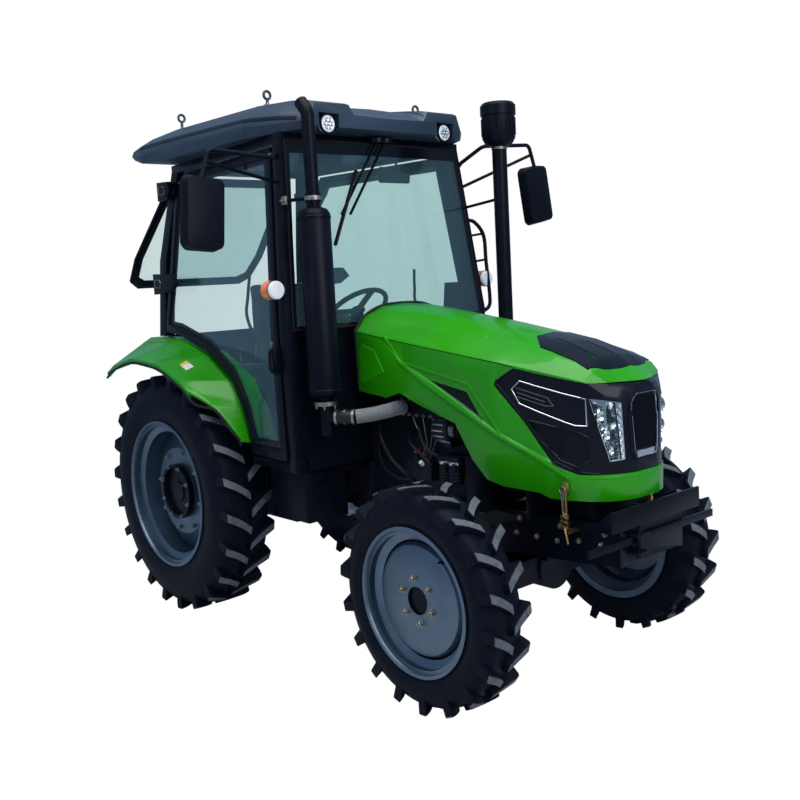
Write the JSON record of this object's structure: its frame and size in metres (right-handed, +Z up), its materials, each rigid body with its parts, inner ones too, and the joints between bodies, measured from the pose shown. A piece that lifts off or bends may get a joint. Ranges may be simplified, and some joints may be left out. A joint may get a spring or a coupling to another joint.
{
  "type": "farm tractor",
  "caption": "Compact four-wheel-drive farm tractor with glazed cab, tilting hood, lugged tyres, steered front axle, opening doors and rear window, and a rear hitch.",
  "frame": {"origin": "on the ground under the middle of the overall length, on the centre plane", "axes": "+X forward, +Y to the machine's left, +Z up"},
  "size_m": [3.9999, 2.4772, 2.8932],
  "materials": {
    "cast_grey": "satin dark enamel",
    "chassis_black": "semi-gloss black",
    "rim_paint": "silver blue enamel",
    "tyre": "black rubber, dusty lug faces",
    "bright_steel": "bright steel",
    "green_paint": "gloss green",
    "mask_black": "dark gloss",
    "latch_brass": "yellow zinc",
    "roof_plastic": "slate blue",
    "cab_glass": "clear tinted",
    "seat_fabric": "black cloth",
    "black_plastic": "fine grain black",
    "lamp_lens": "clear lens"
  },
  "bodies": {
    "chassis": {"transmission": "cast_grey", "engine": "cast_grey", "front_frame": "chassis_black", "tow_bracket": "chassis_black", "front_axle": "cast_grey", "draw_latches": "latch_brass", "fenders": "green_paint", "cab_body": "chassis_black", "cab_frame": "chassis_black", "roof": "roof_plastic", "cab_glass": "cab_glass", "seat": "seat_fabric", "console": "black_plastic", "exhaust": "chassis_black", "intake": "chassis_black", "mirrors": "black_plastic", "signal_lamps": "lamp_lens", "work_lamps": "lamp_lens", "wipers": "black_plastic", "side_boxes": "chassis_black"},
    "knuckle_left": {"knuckle_left": "cast_grey"},
    "knuckle_right": {"knuckle_right": "cast_grey"},
    "wheel_front_left": {"rim_front_left": "rim_paint", "tyre_front_left": "tyre"},
    "wheel_front_right": {"rim_front_right": "rim_paint", "tyre_front_right": "tyre"},
    "wheel_rear_left": {"rim_rear_left": "rim_paint", "tyre_rear_left": "tyre"},
    "wheel_rear_right": {"rim_rear_right": "rim_paint", "tyre_rear_right": "tyre"},
    "steering_rod": {"steering_rod": "bright_steel"},
    "hood": {"hood": "green_paint", "hood_mask": "mask_black", "headlamps": "lamp_lens", "hood_grilles": "mask_black"},
    "door_left": {"door_left": "chassis_black", "door_glass_left": "cab_glass"},
    "door_right": {"door_right": "chassis_black", "door_glass_right": "cab_glass"},
    "rear_window": {"rear_window": "chassis_black", "rear_glass": "cab_glass"},
    "steering_wheel": {"steering_wheel": "black_plastic"},
    "lift_arms": {"lift_arms": "chassis_black"},
    "lower_links": {"lower_links": "chassis_black"},
    "lift_rods": {"lift_rods": "chassis_black"}
  },
  "joints": [
    {"name": "spin_rear_left", "type": "hinge", "parent": "chassis", "child": "wheel_rear_left", "pos_m": [-0.85, 0.666, 0.695], "axis": [0, 1, 0], "continuous": true},
    {"name": "spin_rear_right", "type": "hinge", "parent": "chassis", "child": "wheel_rear_right", "pos_m": [-0.85, -0.666, 0.695], "axis": [0, 1, 0], "continuous": true},
    {"name": "steer_left", "type": "hinge", "parent": "chassis", "child": "knuckle_left", "pos_m": [1.287, 0.548, 0.6], "axis": [0, 0, 1], "range_deg": [-32, 32]},
    {"name": "steer_right", "type": "hinge", "parent": "chassis", "child": "knuckle_right", "pos_m": [1.287, -0.548, 0.6], "axis": [0, 0, 1], "range_deg": [-32, 32]},
    {"name": "steering_rod_slide", "type": "slide", "parent": "chassis", "child": "steering_rod", "axis": [0, 1, 0], "range_m": [-0.112, 0.112]},
    {"name": "spin_front_left", "type": "hinge", "parent": "knuckle_left", "child": "wheel_front_left", "pos_m": [1.287, 0.696, 0.498], "axis": [0, 1, 0], "continuous": true},
    {"name": "spin_front_right", "type": "hinge", "parent": "knuckle_right", "child": "wheel_front_right", "pos_m": [1.287, -0.696, 0.498], "axis": [0, 1, 0], "continuous": true},
    {"name": "hood_hinge", "type": "hinge", "parent": "chassis", "child": "hood", "pos_m": [0.472, 0, 1.7], "axis": [0, -1, 0], "range_deg": [0, 48]},
    {"name": "door_left_hinge", "type": "hinge", "parent": "chassis", "child": "door_left", "pos_m": [-1.18, 0.572, 1.92], "axis": [0.0299, -0.0896, 0.9955], "range_deg": [0, 75]},
    {"name": "door_right_hinge", "type": "hinge", "parent": "chassis", "child": "door_right", "pos_m": [-1.18, -0.572, 1.92], "axis": [-0.0299, -0.0896, -0.9955], "range_deg": [0, 75]},
    {"name": "rear_window_hinge", "type": "hinge", "parent": "chassis", "child": "rear_window", "pos_m": [-1.15, 0, 2.57], "axis": [0, 1, 0], "range_deg": [-36, 14]},
    {"name": "steering_wheel_turn", "type": "hinge", "parent": "chassis", "child": "steering_wheel", "pos_m": [0.032, 0, 1.7], "axis": [-0.6198, 0, 0.7848], "range_deg": [-600, 600]},
    {"name": "hitch_lift", "type": "hinge", "parent": "chassis", "child": "lift_arms", "pos_m": [-1.14, 0, 0.96], "axis": [0, 1, 0], "range_deg": [-14, 40]},
    {"name": "lower_links_lift", "type": "hinge", "parent": "chassis", "child": "lower_links", "pos_m": [-1.14, 0, 0.515], "axis": [0, 1, 0], "range_deg": [-10, 28]},
    {"name": "lift_rods_swing", "type": "hinge", "parent": "lift_arms", "child": "lift_rods", "pos_m": [-1.42, 0, 0.925], "axis": [0, 1, 0], "range_deg": [-40, 14]}
  ],
  "couplings": [
    {"joint": "steer_right", "follows": "steer_left", "ratio": 1},
    {"joint": "steering_rod_slide", "follows": "steer_left", "m_per_rad": -0.2},
    {"joint": "lower_links_lift", "follows": "hitch_lift", "ratio": 0.7},
    {"joint": "lift_rods_swing", "follows": "hitch_lift", "ratio": -1}
  ]
}
